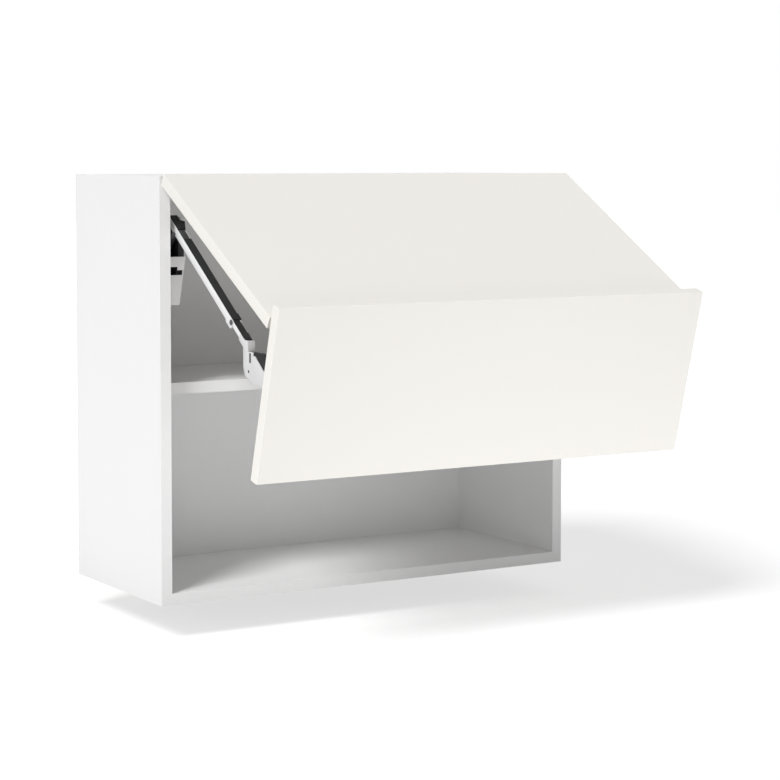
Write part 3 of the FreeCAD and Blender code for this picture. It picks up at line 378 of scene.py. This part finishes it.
def model_screw():
    """One screw along +Z: its head's seat at the origin, the head below and the shank above."""
    bpy.ops.object.select_all(action="DESELECT")
    bpy.ops.mesh.primitive_cylinder_add(vertices=32, radius=HEAD_RADIUS, depth=HEAD_RISE,
                                        location=(0.0, 0.0, -HEAD_RISE / 2))
    head = bpy.context.object
    bpy.ops.object.mode_set(mode="EDIT")
    bpy.ops.mesh.select_all(action="DESELECT")
    bpy.ops.object.mode_set(mode="OBJECT")
    for face in head.data.polygons:
        face.select = abs(face.normal.z) > 0.9 and face.normal.z > 0
    bpy.ops.object.mode_set(mode="EDIT")
    bpy.ops.mesh.select_mode(type="FACE")
    bpy.ops.mesh.inset(thickness=HEAD_RADIUS - SHANK_RADIUS)
    bpy.ops.mesh.extrude_region_move(TRANSFORM_OT_translate={"value": (0.0, 0.0, SHANK_LENGTH)})
    bpy.ops.object.mode_set(mode="OBJECT")
    crown = head.modifiers.new("crown", "BEVEL")
    crown.width = CROWN_ROUNDING
    crown.segments = 3
    crown.limit_method = "ANGLE"
    crown.angle_limit = math.radians(50.0)
    bpy.ops.object.modifier_apply(modifier=crown.name)
    for half in ((RECESS_HALF, RECESS_WIDTH / 2), (RECESS_WIDTH / 2, RECESS_HALF)):
        bpy.ops.object.select_all(action="DESELECT")
        bpy.ops.mesh.primitive_cube_add(size=1.0, location=(0.0, 0.0, -HEAD_RISE),
                                        scale=(2 * half[0], 2 * half[1], 2 * RECESS_DEPTH))
        punch = bpy.context.object
        pressed = head.modifiers.new("recess", "BOOLEAN")
        pressed.operation = "DIFFERENCE"
        pressed.object = punch
        bpy.context.view_layer.objects.active = head
        bpy.ops.object.modifier_apply(modifier=pressed.name)
        bpy.data.objects.remove(punch)
    bpy.ops.object.select_all(action="DESELECT")
    head.select_set(True)
    bpy.ops.object.shade_smooth_by_angle(angle=math.radians(32.0))
    return head


def place_screws(name, pattern, places, first_turn):
    """Copies of the screw at (start, direction) places, joined as the stand-in for a CAD node."""
    copies = []
    for index, (start, direction) in enumerate(places):
        copy = bpy.data.objects.new(f"{name}_{index}", pattern.data.copy())
        bpy.context.scene.collection.objects.link(copy)
        twist = Matrix.Rotation(math.radians(TURN_STEP * index + first_turn), 4, "Z")
        aim = Vector(direction).to_track_quat("Z", "Y").to_matrix().to_4x4()
        copy.data.transform(Matrix.Translation(start) @ aim @ twist)
        copies.append(copy)
    bpy.ops.object.select_all(action="DESELECT")
    for copy in copies:
        copy.select_set(True)
    bpy.context.view_layer.objects.active = copies[0]
    bpy.ops.object.join()
    joined = copies[0]
    joined.name = f"{name}_cross_headed"
    joined.data.materials.clear()
    joined.data.materials.append(nodes[name].material_slots[0].material)
    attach(joined, nodes[name]["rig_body"])
    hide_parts(name)


SAME_SCREW = 2.2 * HEAD_RADIUS


def screw_places(name, seat, side=None):
    """Where a node's screws start and how they point, read from the ends of its own solids.
    seat is the direction that the shanks point in."""
    inward = Vector(seat).normalized()
    groups = []
    for vertex in nodes[name].data.vertices:
        point = vertex.co.copy()
        if side and (point.x < 0) != (side == "left"):
            continue
        flat = point - inward * point.dot(inward)
        group = next((near for near in groups if (near[0] - flat).length < SAME_SCREW), None)
        if group is None:
            group = [flat, [], []]
            groups.append(group)
        group[1].append(flat)
        group[2].append(point.dot(inward))
    places = []
    for _, flats, depths in groups:
        middle = Vector([(min(flat[i] for flat in flats) + max(flat[i] for flat in flats)) / 2
                         for i in range(3)])
        places.append((middle + inward * (min(depths) + HEAD_RISE), inward))
    return places


UPPER_LEAN, LOWER_LEAN = math.radians(60.0), math.radians(15.0)
screw = model_screw()
for label, seat in (
        ("top_hinge_plate_screws", (0.0, 0.0, 1.0)),
        ("centre_hinge_arm_screws", (0.0, -math.cos(UPPER_LEAN), math.sin(UPPER_LEAN))),
        ("arm_bracket_screws", (0.0, -math.cos(LOWER_LEAN), -math.sin(LOWER_LEAN)))):
    place_screws(label, screw, screw_places(label, seat), 12.0)
place_screws("lift_unit_screws", screw, screw_places("lift_unit_screws", (-1.0, 0.0, 0.0), "left")
             + screw_places("lift_unit_screws", (1.0, 0.0, 0.0), "right"), 25.0)
bpy.data.objects.remove(screw)


# ---------------------------------------------------------------- telescopic arms
# Each arm is a light coated channel with a dark plastic lid, and a slimmer channel that
# slides in it and ends in a pressed plate; its root is carried by a steel lever.
ARM_SLOPE = math.radians(34.81)


def drawn_profile(name, dark, light):
    """A satin coated profile with faint draw lines along the arm."""
    made = Finish(name)
    turned = made.node("ShaderNodeMapping", None,
                       {"Vector": made.place, "Rotation": (-ARM_SLOPE, 0.0, 0.0)}).outputs[0]
    lines = made.noise(800.0, 3.0, 0.5, made.stretched((1.0, 0.02, 1.0), turned))
    cloud = made.noise(25.0, 2.0)
    made.surface(made.blended(cloud, dark, light), 0.30 + 0.12 * lines + 0.05 * cloud,
                 lines, 0.00003, 0.3)
    return made


dress("arm_aluminium", drawn_profile("satin_coated_profile", (0.78, 0.78, 0.785), (0.83, 0.83, 0.835)))
dress("arm_steel", drawn_profile("coated_pressed_steel", (0.65, 0.65, 0.655), (0.70, 0.70, 0.70)))


dress("arm_black", moulded(
    "dark_lid_plastic", (0.018, 0.018, 0.019), (0.028, 0.028, 0.029), 0.45, specular=0.15))
dress("lever_steel", plated("dark_phosphated_steel", (0.11, 0.11, 0.115), (0.16, 0.16, 0.165), 0.42))
for side in ("left", "right"):
    softened([f"{side}_arm_outer_profile", f"{side}_arm_inner_profile", f"{side}_arm_end_plate"], 0.0002)
    softened([f"{side}_arm_insert", f"{side}_arm_end_block", f"{side}_arm_lever"], 0.0004)
    softened([f"{side}_arm_clamp_screw", f"{side}_arm_pivot_pin"], 0.0005)


# ---------------------------------------------------------------- front buffers
# Two soft pale rubber pads on the lower front's inner face stop it quietly against the
# side panels; their rims are rounded.
def rubber():
    made = Finish("soft_rubber", specular=0.3)
    bloom = made.noise(180.0, 3.0)
    made.surface(made.blended(bloom, (0.72, 0.72, 0.71), (0.80, 0.80, 0.79)), 0.62 + 0.15 * bloom,
                 bloom, 0.0001, 0.3)
    return made


dress("buffer_rubber", rubber())
softened(["front_buffers"], 0.0008)


# ---------------------------------------------------------------- studio
# A white floor a hand's breadth under the hanging cabinet and a white surround. A far key lamp
# on the left throws the long shadow; low lamps stand for the bright floor in front.
FLOOR_DROP, FLOOR_SIZE = 0.060, 40.0
FLOOR_TONE, FLOOR_LIFT = 0.50, 0.64
SURROUND_LIGHT = 0.29
KEY_FROM, KEY_STRENGTH, KEY_WIDTH = (-0.82, -0.50, 0.97), 2.45, math.radians(19.0)
BOUNCE_GAP = 0.004
BOUNCES = (("floor_bounce_left", 0.50, -4.1, -0.5, -4.8, 1.2),
           ("floor_bounce_right", 0.94, -0.5, 1.4, -4.8, -0.61))
LOW_SIZE, LOW_LEVEL, LOW_PLACE, LOW_AIM = (1.4, 0.5), 1.3, (-1.1, -2.6, 0.20), (-0.15, 0.0, 0.22)
bpy.ops.object.select_all(action="DESELECT")
bpy.ops.mesh.primitive_plane_add(size=FLOOR_SIZE, location=(0.0, 0.0, -FLOOR_DROP))
floor = bpy.context.object
floor.name = "studio_floor"

SEEN = ("Is Camera Ray", "Is Glossy Ray", "Is Transmission Ray")


def seen_directly(tree):
    """1 for rays that show the surround itself: to the camera, in gloss and through glass."""
    path = tree.nodes.new("ShaderNodeLightPath")
    total = None
    for output in SEEN:
        if total is None:
            total = path.outputs[output]
            continue
        added = tree.nodes.new("ShaderNodeMath")
        added.operation = "MAXIMUM"
        tree.links.new(total, added.inputs[0])
        tree.links.new(path.outputs[output], added.inputs[1])
        total = added.outputs[0]
    return total


floor_paint = bpy.data.materials.new("studio_floor_paint")
floor_paint.use_nodes = True
tree = floor_paint.node_tree
tree.nodes.clear()
surface_out = tree.nodes.new("ShaderNodeOutputMaterial")
matt = tree.nodes.new("ShaderNodeBsdfDiffuse")
matt.inputs["Color"].default_value = (FLOOR_TONE, FLOOR_TONE, FLOOR_TONE, 1.0)
glow = tree.nodes.new("ShaderNodeEmission")
scaled = tree.nodes.new("ShaderNodeMath")
scaled.operation = "MULTIPLY"
scaled.inputs[1].default_value = FLOOR_LIFT
tree.links.new(seen_directly(tree), scaled.inputs[0])
tree.links.new(scaled.outputs[0], glow.inputs["Strength"])
both = tree.nodes.new("ShaderNodeAddShader")
tree.links.new(matt.outputs[0], both.inputs[0])
tree.links.new(glow.outputs[0], both.inputs[1])
tree.links.new(both.outputs[0], surface_out.inputs["Surface"])
floor.data.materials.append(floor_paint)

world = bpy.data.worlds.new("studio_surround")
bpy.context.scene.world = world
world.use_nodes = True
sky = world.node_tree
background = sky.nodes["Background"]
background.inputs["Color"].default_value = (1.0, 1.0, 1.0, 1.0)
level = sky.nodes.new("ShaderNodeMix")
level.inputs[2].default_value = SURROUND_LIGHT
level.inputs[3].default_value = 1.0
sky.links.new(seen_directly(sky), level.inputs[0])
sky.links.new(level.outputs[0], background.inputs["Strength"])


def hang_lamp(name, kind, energy, place, aim):
    """A lamp at a place, turned so that it shines towards another."""
    data = bpy.data.lights.new(name, kind)
    data.energy = energy
    lamp = bpy.data.objects.new(name, data)
    bpy.context.scene.collection.objects.link(lamp)
    lamp.location = place
    lamp.rotation_euler = (Vector(aim) - Vector(place)).to_track_quat("-Z", "Y").to_euler()
    return lamp


# The key is far off, so it lights the floor evenly. The bounces are the bright floor in front
# of the cabinet, less the part that the raised fronts shade; they and the low softbox light
# the fronts, the front edges and the lower compartment from below.
key = hang_lamp("key_lamp", "SUN", KEY_STRENGTH, KEY_FROM, (0.0, 0.0, 0.0))
key.data.angle = KEY_WIDTH
panels = [("low_softbox", LOW_LEVEL, LOW_SIZE, LOW_PLACE, LOW_AIM)]
for name, brightness, left, right, near, far in BOUNCES:
    middle = ((left + right) / 2, (near + far) / 2, BOUNCE_GAP - FLOOR_DROP)
    panels.append((name, brightness, (right - left, far - near), middle, (middle[0], middle[1], 1.0)))
for name, brightness, size, place, aim in panels:
    lamp = hang_lamp(name, "AREA", brightness * math.pi * size[0] * size[1], place, aim)
    lamp.data.shape = "RECTANGLE"
    lamp.data.size, lamp.data.size_y = size
    lamp.visible_camera = False
    lamp.visible_glossy = False
